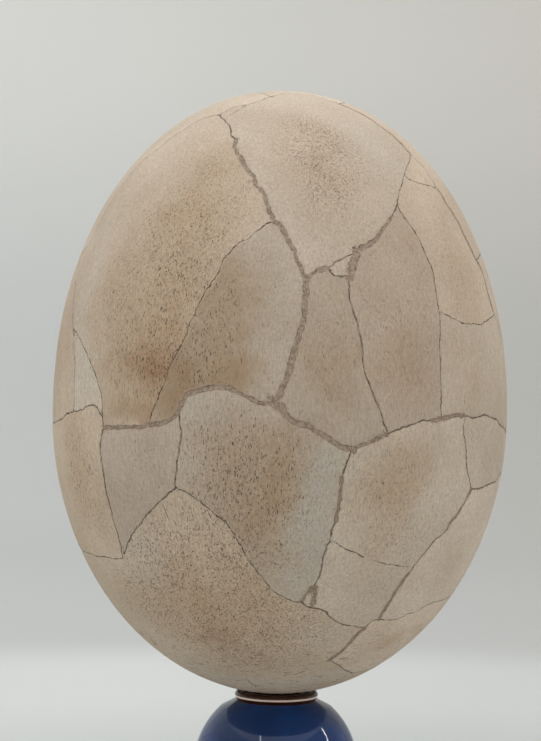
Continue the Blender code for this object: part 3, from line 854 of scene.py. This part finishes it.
class Value:
    """A number or colour that a material's nodes work out, with plain arithmetic."""

    def __init__(self, graph: "Graph", socket: bpy.types.NodeSocket) -> None:
        """Keep the material and the socket that gives the value."""
        self.graph = graph
        self.socket = socket

    def __add__(self, other: "Source") -> "Value":
        """Add."""
        return self.graph.sum("ADD", self, other)

    def __sub__(self, other: "Source") -> "Value":
        """Take away."""
        return self.graph.sum("SUBTRACT", self, other)

    def __mul__(self, other: "Source") -> "Value":
        """Multiply."""
        return self.graph.sum("MULTIPLY", self, other)

    def __abs__(self) -> "Value":
        """Drop the sign."""
        return self.graph.sum("ABSOLUTE", self)

    def at_most(self, other: "Source") -> "Value":
        """The smaller of two values."""
        return self.graph.sum("MINIMUM", self, other)

    def at_least(self, other: "Source") -> "Value":
        """The larger of two values."""
        return self.graph.sum("MAXIMUM", self, other)

    def below(self, other: "Source") -> "Value":
        """Whether it is less, as 1 or 0."""
        return self.graph.sum("LESS_THAN", self, other)

    def root(self) -> "Value":
        """Its square root."""
        return self.graph.sum("SQRT", self)


Source = Value | float | Colour


class Graph:
    """Builds one material's nodes; inputs are values worked out by nodes, or plain ones."""

    def __init__(self, name: str, colour: Colour, roughness: float) -> None:
        """Start a material.

        Args:
            name: The material's name.
            colour: Its flat colour, for plain views.
            roughness: Its roughness.
        """
        self.material = bpy.data.materials.new(name)
        self.material.use_nodes = True
        self.material.diffuse_color = (*colour, 1.0)
        self.tree = self.material.node_tree
        self.shader = self.tree.nodes["Principled BSDF"]
        self.set("Base Color", colour)
        self.set("Roughness", roughness)
        self.place = Value(self, self.add("ShaderNodeTexCoord").outputs["Object"])

    def add(self, kind: str, **settings: str) -> bpy.types.Node:
        """Add a node.

        Args:
            kind: Its type.
            settings: Its options.

        Returns:
            The new node.
        """
        node = self.tree.nodes.new(kind)
        for key, value in settings.items():
            setattr(node, key, value)
        return node

    def feed(self, socket: bpy.types.NodeSocket, source: Source) -> None:
        """Give an input its value.

        Args:
            socket: The input.
            source: A value to link, a number, or a colour.
        """
        if isinstance(source, Value):
            self.tree.links.new(source.socket, socket)
        elif socket.type == "RGBA":
            socket.default_value = (*source, 1.0)
        else:
            socket.default_value = source

    def set(self, name: str, source: Source) -> None:
        """Give the shader's input of that name its value."""
        self.feed(self.shader.inputs[name], source)

    def sum(self, operation: str, *values: Source) -> Value:
        """One step of arithmetic.

        Args:
            operation: The math node's operation.
            values: What it works on.

        Returns:
            The result.
        """
        node = self.add("ShaderNodeMath", operation=operation)
        for socket, value in zip(node.inputs, values):
            self.feed(socket, value)
        return Value(self, node.outputs[0])

    def rise(self, source: Source, low: Source, high: Source, start: Source = 0.0,
             end: Source = 1.0) -> Value:
        """Go smoothly from one value to another as a source goes from low to high.

        Args:
            source: What is looked at.
            low: Where the change starts.
            high: Where it ends; it may be below low.
            start: The value at low.
            end: The value at high.

        Returns:
            The result.
        """
        node = self.add("ShaderNodeMapRange", interpolation_type="SMOOTHSTEP")
        for socket, value in zip(node.inputs, (source, low, high, start, end)):
            self.feed(socket, value)
        return Value(self, node.outputs[0])

    def spot(self, shift: float, squeeze: Point) -> Value:
        """The place on the object, with the pattern's shift and stretch.

        Args:
            shift: How far the pattern is moved.
            squeeze: Factors on the level directions and on the upright one.

        Returns:
            The place.
        """
        if squeeze == (1.0, 1.0) and not shift:
            return self.place
        node = self.add("ShaderNodeMapping")
        self.feed(node.inputs["Vector"], self.place)
        node.inputs["Scale"].default_value = (squeeze[0], squeeze[0], squeeze[1])
        node.inputs["Location"].default_value = (shift, shift * 0.7, shift * 1.3)
        return Value(self, node.outputs[0])

    def grain(self, scale: float, detail: float = 3.0, rough: float = 0.55, shift: float = 0.0,
              squeeze: Point = (1.0, 1.0)) -> Value:
        """Noise of about 0 to 1.

        Args:
            scale: Cells per metre.
            detail: How many finer layers it has.
            rough: How strong those are.
            shift: Moves the pattern, for one unlike the others.
            squeeze: Factors on the level directions and on the upright one.

        Returns:
            The noise.
        """
        node = self.add("ShaderNodeTexNoise")
        self.feed(node.inputs["Vector"], self.spot(shift, squeeze))
        for name, value in (("Scale", scale), ("Detail", detail), ("Roughness", rough)):
            self.feed(node.inputs[name], value)
        return Value(self, node.outputs["Fac"])

    def cells(self, scale: float, shift: float, squeeze: Point) -> tuple[Value, Value, Value]:
        """Scattered cells.

        Args:
            scale: Cells per metre.
            shift: Moves the pattern.
            squeeze: Factors on the level directions and on the upright one.

        Returns:
            The distance from a cell's middle, and two random numbers for each cell.
        """
        node = self.add("ShaderNodeTexVoronoi")
        self.feed(node.inputs["Vector"], self.spot(shift, squeeze))
        self.feed(node.inputs["Scale"], scale)
        split = self.add("ShaderNodeSeparateColor")
        self.feed(split.inputs[0], Value(self, node.outputs["Color"]))
        return tuple(Value(self, socket) for socket in (node.outputs["Distance"], *split.outputs[:2]))

    def read(self, name: str, output: str = "Vector") -> Value:
        """What the mesh keeps under a name, as a Vector, a Color or, for a single number, a Fac."""
        return Value(self, self.add("ShaderNodeAttribute", attribute_name=name).outputs[output])

    def split(self, vector: Value) -> tuple[Value, Value, Value]:
        """The three numbers of a vector."""
        node = self.add("ShaderNodeSeparateXYZ")
        self.feed(node.inputs[0], vector)
        return tuple(Value(self, socket) for socket in node.outputs)

    def mix(self, share: Source, a: Source, b: Source, blend: str = "MIX") -> Value:
        """Blend two colours.

        Args:
            share: How much of the second.
            a: First colour.
            b: Second colour.
            blend: The mix node's blend type.

        Returns:
            The colour.
        """
        node = self.add("ShaderNodeMix", data_type="RGBA", blend_type=blend)
        for index, value in ((0, share), (6, a), (7, b)):
            self.feed(node.inputs[index], value)
        return Value(self, node.outputs[2])

    def grey(self, value: Value) -> Value:
        """A grey colour of a number."""
        node = self.add("ShaderNodeCombineColor")
        for socket in node.inputs:
            self.feed(socket, value)
        return Value(self, node.outputs[0])

    def bump(self, height: Value, distance: float, strength: float) -> None:
        """Use a height for the surface's small relief.

        Args:
            height: Height, as a share of the distance.
            distance: The relief's depth in metres.
            strength: How strongly it shows.
        """
        node = self.add("ShaderNodeBump")
        self.feed(node.inputs["Height"], height)
        node.inputs["Distance"].default_value = distance
        node.inputs["Strength"].default_value = strength
        self.set("Normal", Value(self, node.outputs["Normal"]))


@dataclass(frozen=True)
class PoreKind:
    """One kind of pore: its pattern's cells per metre, shift and squeeze, its size as a share of a cell."""

    scale: float
    shift: float
    size: float
    squeeze: float
    common: float


# The first three are upright slits, the others nearly round; common is their share at the densest places
PORE_KINDS: list[PoreKind] = [
    PoreKind(740, 0.0, 0.190, 0.24, 0.85),
    PoreKind(1100, 2.3, 0.245, 0.23, 0.80),
    PoreKind(1750, 4.1, 0.38, 0.28, 0.50),
    PoreKind(720, 6.2, 0.185, 0.62, 0.55),
    PoreKind(980, 8.5, 0.215, 0.70, 0.60),
]


@dataclass(frozen=True)
class ShellFinish:
    """Colours of the old shell, as a screen shows them under white light, partly also painted light and
    shade.
    """

    cream: Colour = (214, 199, 180)
    sand: Colour = (201, 185, 165)
    ochre: Colour = (184, 157, 125)
    rust: Colour = (148, 108, 80)
    pale: Colour = (206, 199, 187)
    pore: Colour = (78, 54, 36)
    filler: Colour = (181, 161, 142)
    filler_dark: Colour = (148, 126, 108)
    crack_and_edge_shade: Colour = (62, 48, 38)
    scuffed: Point = (0.118, 0.096)
    relief: float = 0.30 * MM

    def make(self) -> bpy.types.Material:
        """Build the shell's material.

        Returns:
            The material.
        """
        g = Graph("eggshell", linear(self.sand), 0.78)
        pores = g.read("pores", "Fac")
        ochre, pale, dark = g.split(g.read("stains_and_painted_light"))
        mottle = g.grain(110, 5, 0.6, 3.0)
        fine = g.grain(750, 3, 0.65, 5.0)
        streak = g.grain(1300, 3, 0.65, 7.0, (1.0, 0.18))

        skin = g.mix(g.rise(g.grain(22, 4), 0.35, 0.65), linear(self.cream), linear(self.sand))
        broken = g.rise(mottle, 0.30, 0.68, 0.78, 1.12) * g.rise(fine, 0.3, 0.7, 0.72, 1.22)
        # The pale patch is partly painted light
        stains_and_painted_light = ((ochre, self.ochre, 0.72), (dark, self.rust, 0.60), (pale, self.pale, 0.70))
        for share, colour, cover in stains_and_painted_light:
            skin = g.mix((share * broken * cover).at_most(0.92), skin, linear(colour))
        # Each shard's tone: its own colour, partly painted light and shade
        skin = g.mix(1.0, skin, g.read("tone_and_painted_light", "Color"), "MULTIPLY")
        skin = g.mix(g.rise(streak, 0.36, 0.66, 0.0, pores * 0.16 + 0.24), skin, linear(self.rust))
        sandy = fine + g.grain(1700, 2, 0.7, 8.0, (1.0, 0.55))
        skin = g.mix(1.0, skin, g.grey((sandy - 1.0) * (pores * 0.45 + 0.50) + 1.0), "MULTIPLY")

        slits = self.pore_mask(g, pores, ochre)
        skin = g.mix(slits, skin, linear(self.pore))
        skin = g.mix(self.scuff_mask(g, mottle), skin, linear(self.pore))
        gap, core, smear = self.seam_masks(g, mottle)
        skin = g.mix(smear, skin, linear(self.filler))
        fill = g.mix(g.rise(fine, 0.38, 0.66), linear(self.filler), linear(self.filler_dark))
        skin = g.mix(gap, skin, fill)
        # Dark cracks, with painted shade along the filler's borders
        g.set("Base Color", g.mix(core, skin, linear(self.crack_and_edge_shade)))
        g.set("Roughness", g.rise(fine, 0.3, 0.7, 0.70, 0.86))
        g.set("Specular IOR Level", 0.35)
        g.bump(fine * 0.35 + streak * 0.25 - slits * 0.7 - core + gap * fine * 1.2, self.relief, 0.9)
        return g.material

    def pore_mask(self, g: Graph, pores: Value, ochre: Value) -> Value:
        """Dark slit-like pores, dense in some patches.

        Args:
            g: The material.
            pores: How dense they are.
            ochre: The stain's strength, which brings a few more.

        Returns:
            The mask.
        """
        patches = g.rise(g.grain(80, 3, 0.6, 11.0), 0.3, 0.7, 0.40, 1.50)
        patchy = (pores * 0.92 + ochre * 0.10 + 0.08) * patches
        masks: list[Value] = []
        for kind in PORE_KINDS:
            reach, chance, length = g.cells(kind.scale, kind.shift, (1.0, kind.squeeze))
            edge = (length + 0.5) * kind.size
            masks.append(g.rise(reach, edge, edge * 0.5) * chance.below(patchy * kind.common))
        cover = masks[0]
        for mask in masks[1:]:
            cover = cover.at_least(mask)
        strength = g.rise(g.grain(300, 1, 0.5, 13.0), 0.3, 0.7, 0.60, 1.0)
        return cover * (strength * g.rise(pores, 0.05, 0.60, 0.45, 1.0))

    def scuff_mask(self, g: Graph, mottle: Value) -> Value:
        """Fine level scuffs around the egg's lower end.

        Args:
            g: The material.
            mottle: Coarse noise, which breaks them up.

        Returns:
            The mask.
        """
        scuffs = g.rise(g.grain(800, 3, 0.7, 27.0, (0.22, 1.4)), 0.54, 0.66, 0.0, 0.46)
        return scuffs * g.rise(g.split(g.place)[2], *self.scuffed) * g.rise(mottle, 0.38, 0.54)

    def seam_masks(self, g: Graph, mottle: Value) -> tuple[Value, Value, Value]:
        """Where the filler shows, where dark cracks and painted border shade run, and where filler is
        smeared, all in millimetres.

        Args:
            g: The material.
            mottle: Coarse noise.

        Returns:
            Three masks.
        """
        signed, distance, half = g.split(g.read("seam"))
        ragged = g.grain(650, 3, 0.6, 15.0)
        breaks = g.grain(260, 2, 0.6, 19.0)
        width = half * g.rise(ragged, 0.25, 0.75, 0.75, 1.25)
        wiggle = (g.grain(480, 3, 0.65, 17.0) - 0.5) * 1.7
        off = abs(signed + wiggle).at_least(distance - 0.9)
        near = distance.below(half * 1.6 + 1.2)
        gap = g.rise(off, width + 0.08, width - 0.08) * near * g.rise(half, 0.20, 0.55, 0.15, 1.0)
        line = (ragged - 0.5) * 0.45 + 0.12
        core = g.rise(off, line + 0.18, line - 0.02)
        core = core * g.rise(breaks, 0.34, 0.58, 0.30, 1.0) * g.rise(half, 0.70, 0.38, 0.16, 1.0)
        # Painted shade: broken dark lines along the filler's borders, where the shell's edge drops into the
        # channel
        border = abs(off - width * g.rise(breaks, 0.3, 0.7, 0.70, 1.05))
        edge = g.rise(border, 0.26, 0.03, 0.0, 0.62) * g.rise(half, 0.35, 0.7)
        edge = edge * g.rise(g.grain(330, 2, 0.6, 23.0), 0.40, 0.58, 0.10, 1.0)
        spread = distance - half - mottle * 3.0
        smear = g.rise(spread, -0.2, -1.4, 0.0, 0.45) * g.rise(half, 0.4, 1.0)
        return gap, core.at_least(edge) * near, smear


@dataclass(frozen=True)
class GlazeFinish:
    """The stand's cobalt glaze, its lip's lines and its bare clay."""

    cobalt: Colour = (0, 58, 122)
    deep: Colour = (0, 42, 92)
    brown: Colour = (56, 26, 14)
    cream: Colour = (255, 226, 210)
    clay: Colour = (150, 120, 96)

    def make(self, stand: "StandForm") -> bpy.types.Material:
        """Build the glaze.

        Args:
            stand: The stand's sizes, for the lip's lines and the glaze's lower edge.

        Returns:
            The material.
        """
        g = Graph("blue_glaze", linear(self.cobalt), 0.06)
        height = g.split(g.place)[2]
        wave = (g.grain(90, 3) - 0.5) * (0.5 * MM)
        level = height + wave * 0.35
        lip = stand.seat - stand.lip_drop
        skin = g.mix(g.rise(g.grain(35, 3), 0.35, 0.65), linear(self.cobalt), linear(self.deep))
        skin = g.mix(g.rise(level, lip - 2.9 * MM, lip - 2.2 * MM), skin, linear(self.brown))
        stripe = abs(level - (lip - 0.45 * MM))
        skin = g.mix(g.rise(stripe, 0.60 * MM, 0.35 * MM), skin, linear(self.cream))
        bare = g.rise(height + wave * 2.0, stand.foot_height - 1.6 * MM, stand.foot_height - 2.2 * MM)
        g.set("Base Color", g.mix(bare, skin, linear(self.clay)))
        g.set("Roughness", g.rise(bare, 0.0, 1.0, 0.06, 0.8))
        g.set("IOR", 1.48)
        g.bump(g.grain(120, 2), 0.12 * MM, 0.5)
        return g.material


@dataclass(frozen=True)
class StandForm:
    """The turned stand; drops are measured down from its seat, the egg's lower pole."""

    seat: float
    body_radius: float
    lip_radius: float = 0.0183
    lip_thickness: float = 0.0024
    lip_drop: float = 0.00095
    seat_depth: float = 0.0022
    neck_radius: float = 0.0198
    neck_drop: float = 0.0029
    body_drop: float = 0.0374
    shoulder_drop: float = 0.0066
    foot_radius: float = 0.0315
    foot_height: float = 0.0050
    foot_edge: float = 0.0006
    foot_inner: float = 0.0245
    foot_recess: float = 0.0020
    sides: int = 144

    @classmethod
    def from_frame(cls, form: EggForm) -> "StandForm":
        """Read the stand's size from its solid and the egg's place."""
        low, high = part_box("stand")
        return cls(form.middle - form.lower, (high[0] - low[0]) / 2)

    def globe(self) -> np.ndarray:
        """The middle of the body's globe."""
        return np.array([0.0, 0.0, self.seat - self.body_drop])

    def arc(self, radius: float, drop: float, size: float, first: float, last: float,
            steps: int) -> list[Point]:
        """Profile points on an arc.

        Args:
            radius: The arc's middle, from the axis.
            drop: The arc's middle, down from the seat.
            size: The arc's radius.
            first: First angle in degrees, from outwards towards up.
            last: Last angle.
            steps: How many steps it has.

        Returns:
            Points of radius and height.
        """
        angles = [math.radians(first + (last - first) * step / steps) for step in range(steps + 1)]
        return [(radius + size * math.cos(a), self.seat - drop + size * math.sin(a)) for a in angles]

    def profile(self) -> list[Point]:
        """Radius and height from the seat's middle, over the lip and down to the foot's middle.

        Returns:
            Points of radius and height.
        """
        shoulder = math.degrees(math.asin((self.body_drop - self.shoulder_drop) / self.body_radius))
        ankle = math.degrees(math.asin((self.foot_height - self.seat + self.body_drop) / self.body_radius))
        floor = self.seat - self.seat_depth
        points = [(0.008, floor), (self.lip_radius - self.lip_thickness - 0.001, floor)]
        points += self.arc(self.lip_radius, self.lip_drop, self.lip_thickness, 190, -35, 22)
        points.append((self.neck_radius, self.seat - self.neck_drop))
        points += self.arc(0.0, self.body_drop, self.body_radius, shoulder, ankle, 44)
        points += [(self.foot_radius, self.foot_height - self.foot_edge), (self.foot_radius, self.foot_edge)]
        points += [(self.foot_radius - self.foot_edge, 0.0), (self.foot_inner + self.foot_edge, 0.0)]
        return points + [(self.foot_inner, self.foot_recess), (0.010, self.foot_recess)]

    def build(self) -> bpy.types.Object:
        """Model the stand from a sphere whose rings take the profile's places.

        Returns:
            The finished stand.
        """
        rings = self.profile()
        last = len(rings) + 1
        bpy.ops.object.select_all(action="DESELECT")
        bpy.ops.mesh.primitive_uv_sphere_add(segments=self.sides, ring_count=last, radius=1.0)
        item = bpy.context.object
        item.name = "stand_pot"
        poles = {0: self.seat - self.seat_depth, last: self.foot_recess}
        for corner in item.data.vertices:
            row = round(math.acos(max(-1.0, min(1.0, corner.co.z))) / math.pi * last)
            if row in poles:
                corner.co = (0.0, 0.0, poles[row])
                continue
            radius, height = rings[row - 1]
            angle = math.atan2(corner.co.y, corner.co.x)
            corner.co = (radius * math.cos(angle), radius * math.sin(angle), height)
        item.data.update()
        bpy.ops.object.shade_smooth_by_angle(angle=math.radians(40))
        return item


@dataclass(frozen=True)
class Room:
    """The pale surroundings: a round floor that curves up into a wall, open at the top."""

    radius: float = 3.4
    cove: float = 1.3
    height: float = 3.0
    sides: int = 96
    floor_steps: int = 8
    cove_steps: int = 16
    # Painted light and shade: lighter high on the wall, darker low and to the right, a lighter pool on the
    # table round the object, darker close round it
    paint: Colour = (237, 237, 234)
    shade: Colour = (206, 208, 207)
    floor: Colour = (197, 199, 199)
    table: Colour = (211, 213, 211)
    table_painted_shadow: Colour = (201, 203, 201)
    right_side_painted_shade: Colour = (237, 233, 229)
    right_table_painted_shade: Colour = (243, 243, 243)
    table_reach: float = 0.58

    def rings(self) -> list[Point]:
        """Radius and height of the rings, from the floor's middle up the wall."""
        flat = self.radius - self.cove
        rings = [(flat * step / self.floor_steps, 0.0) for step in range(1, self.floor_steps + 1)]
        for step in range(1, self.cove_steps + 1):
            angle = math.pi / 2 * step / self.cove_steps
            rings.append((flat + self.cove * math.sin(angle), self.cove * (1 - math.cos(angle))))
        return rings + [(self.radius, self.height)]

    def build(self) -> bpy.types.Object:
        """Model the room from a disc whose edge is extruded ring by ring.

        Returns:
            The room.
        """
        rings = self.rings()
        bpy.ops.object.select_all(action="DESELECT")
        bpy.ops.mesh.primitive_circle_add(vertices=self.sides, radius=rings[0][0], fill_type="TRIFAN")
        item = bpy.context.object
        item.name = "pale_room"
        bpy.ops.object.mode_set(mode="EDIT")
        for (inner, low), (outer, high) in zip(rings, rings[1:]):
            bpy.ops.mesh.select_all(action="DESELECT")
            bpy.ops.object.mode_set(mode="OBJECT")
            for corner in item.data.vertices:
                reach = math.hypot(corner.co.x, corner.co.y)
                corner.select = abs(reach - inner) < 1e-4 and abs(corner.co.z - low) < 1e-4
            bpy.ops.object.mode_set(mode="EDIT")
            bpy.ops.mesh.select_mode(type="VERT")
            bpy.ops.mesh.extrude_edges_move()
            bpy.ops.transform.resize(value=(outer / inner, outer / inner, 1.0), center_override=(0, 0, low))
            bpy.ops.transform.translate(value=(0, 0, high - low))
        bpy.ops.mesh.select_all(action="SELECT")
        bpy.ops.mesh.normals_make_consistent(inside=False)
        bpy.ops.mesh.flip_normals()
        bpy.ops.object.mode_set(mode="OBJECT")
        bpy.ops.object.shade_smooth()
        item.data.materials.append(self.finish())
        return item

    def finish(self) -> bpy.types.Material:
        """Matt pale paint with painted light and shade: painted light high on the wall and on the table round
        the object, painted shade close round the object, low on the wall, on the floor just beyond the table
        and towards the right.

        Returns:
            The material.
        """
        g = Graph("pale_room_painted_light", linear(self.paint), 0.9)
        across, along, height = g.split(g.place)
        reach = (across * across + along * along).root()
        # Painted shade on the floor and low wall, painted light high on the wall, painted shade towards the
        # right
        floor = g.mix(g.rise(reach, 1.3, 2.2), linear(self.floor), linear(self.shade))
        wall = g.mix(g.rise(height, 0.80, 0.10), linear(self.paint), floor)
        wall = g.mix(g.rise(across, -0.7, 0.7), wall, linear(self.right_side_painted_shade), "MULTIPLY")
        # A painted pool of light on the table, with painted shade close round the object and on its right
        table = g.mix(g.rise(reach, 0.22, 0.46), linear(self.table_painted_shadow), linear(self.table))
        table = g.mix(g.rise(across, -0.12, 0.20), table, linear(self.right_table_painted_shade), "MULTIPLY")
        far = g.rise(reach, self.table_reach, self.table_reach + 0.18)
        g.set("Base Color", g.mix(far, table, wall))
        return g.material


def add_lamp(name: str, size: Point, power: float, placing: Matrix) -> None:
    """Put a flat lamp in the scene.

    Args:
        name: The lamp's name.
        size: Its width and height in metres.
        power: Its power in watts.
        placing: Its place and turn; it shines along its own -Z.
    """
    data = bpy.data.lights.new(name, "AREA")
    data.shape = "RECTANGLE"
    data.size, data.size_y = size
    data.energy = power
    item = bpy.data.objects.new(name, data)
    bpy.context.scene.collection.objects.link(item)
    item.matrix_world = placing


@dataclass(frozen=True)
class Lamp:
    """A soft lamp: where it is, what it points at, its size in metres and its power in watts."""

    name: str
    place: tuple[float, float, float]
    size: Point
    power: float
    target: tuple[float, float, float] = (0.0, 0.0, 0.22)

    def build(self) -> None:
        """Put the lamp in the scene."""
        aim = Vector(self.target) - Vector(self.place)
        turn = aim.to_track_quat("-Z", "Y").to_matrix().to_4x4()
        add_lamp(self.name, self.size, self.power, Matrix.Translation(Vector(self.place)) @ turn)


@dataclass(frozen=True)
class Glint:
    """A thin lamp whose mirror image on the stand's globe runs between two picture points."""

    name: str
    ends: tuple[Point, Point]
    radiance: float
    width: float
    away: float = 2.2

    def build(self, view: Viewpoint, stand: StandForm) -> None:
        """Put the lamp where the globe mirrors it.

        Args:
            view: Where the object is seen from.
            stand: The stand's sizes.
        """
        first, last = [self.mirrored(view, stand, end) for end in self.ends]
        length = float(np.linalg.norm(last - first))
        middle = (first + last) / 2
        along = unit(last - first)
        backward = unit(middle - stand.globe())
        backward = unit(backward - along * (backward @ along))
        turn = Matrix((along, np.cross(backward, along), backward)).transposed().to_4x4()
        power = self.radiance * math.pi * length * self.width
        add_lamp(self.name, (length, self.width), power, Matrix.Translation(Vector(middle)) @ turn)

    def mirrored(self, view: Viewpoint, stand: StandForm, end: Point) -> np.ndarray:
        """Follow a sight line to the globe and on from there.

        Args:
            view: Where the object is seen from.
            stand: The stand's sizes.
            end: The picture point.

        Returns:
            A place on the mirrored line.
        """
        eye, ray = view.sight(end)
        globe = stand.globe()
        reach = (globe - eye) @ ray
        miss = max(stand.body_radius ** 2 - float(((globe - eye - ray * reach) ** 2).sum()), 0.0)
        spot = eye + ray * (reach - math.sqrt(miss))
        outward = unit(spot - globe)
        return spot + (ray - outward * 2 * (ray @ outward)) * self.away


GLINTS: list[Glint] = [
    Glint("right strip", ((322, 728), (329, 744)), 26.0, 0.045),
    Glint("left strip", ((260, 731), (261, 744)), 12.0, 0.03),
]
LAMPS: list[Lamp] = [
    Lamp("ceiling", (0.10, -0.10, 2.4), (1.8, 1.8), 13.0),
    Lamp("front", (0.4, -2.2, 1.7), (1.2, 0.8), 1.5),
]
WORLD_COLOUR: Colour = (0.97, 0.99, 1.0)
WORLD_STRENGTH = 1.03


def place_camera(view: Viewpoint) -> None:
    """Put the camera at the viewpoint.

    Args:
        view: Where the object is seen from.
    """
    data = bpy.data.cameras.new("camera")
    data.sensor_fit = "AUTO"
    data.sensor_width = 36.0
    data.lens = view.focal(data.sensor_width)
    data.clip_start = 0.05
    data.clip_end = 50.0
    data.dof.use_dof = False
    item = bpy.data.objects.new("camera", data)
    bpy.context.scene.collection.objects.link(item)
    eye, right, up, ahead = view.axes()
    turn = Matrix((right, up, -ahead)).transposed().to_4x4()
    item.matrix_world = Matrix.Translation(Vector(eye)) @ turn
    bpy.context.scene.camera = item


def light_scene(view: Viewpoint, stand: StandForm) -> None:
    """Set the sky's soft light, the lamps, the stand's glints and the plain view transform.

    Args:
        view: Where the object is seen from.
        stand: The stand's sizes.
    """
    scene = bpy.context.scene
    scene.world = bpy.data.worlds.new("sky")
    scene.world.use_nodes = True
    sky = scene.world.node_tree.nodes["Background"]
    sky.inputs["Color"].default_value = (*WORLD_COLOUR, 1.0)
    sky.inputs["Strength"].default_value = WORLD_STRENGTH
    for lamp in LAMPS:
        lamp.build()
    for glint in GLINTS:
        glint.build(view, stand)
    scene.view_settings.view_transform = "Standard"


def dress(item: bpy.types.Object, material: bpy.types.Material, node: str) -> None:
    """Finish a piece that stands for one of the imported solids.

    Args:
        item: The piece.
        material: Its material.
        node: The solid's name.
    """
    item.data.materials.clear()
    item.data.materials.append(material)
    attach(item, "root")
    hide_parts(node)
    LOG.info("%s: %d faces, for %s", item.name, len(item.data.polygons), node)


def main() -> None:
    """Dress the egg and its stand, light them and set the camera."""
    logging.basicConfig(level=logging.INFO)
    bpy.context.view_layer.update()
    form = EggForm.from_frame()
    stand = StandForm.from_frame(form)
    view = Viewpoint(form.middle - form.lower)
    egg = EggShell(form, view, SeamNet(form, view))
    dress(egg.build(), ShellFinish().make(), "egg")
    dress(stand.build(), GlazeFinish().make(stand), "stand")
    room = Room().build()
    LOG.info("%s: %d faces", room.name, len(room.data.polygons))
    light_scene(view, stand)
    place_camera(view)


if __name__ == "__main__":
    main()
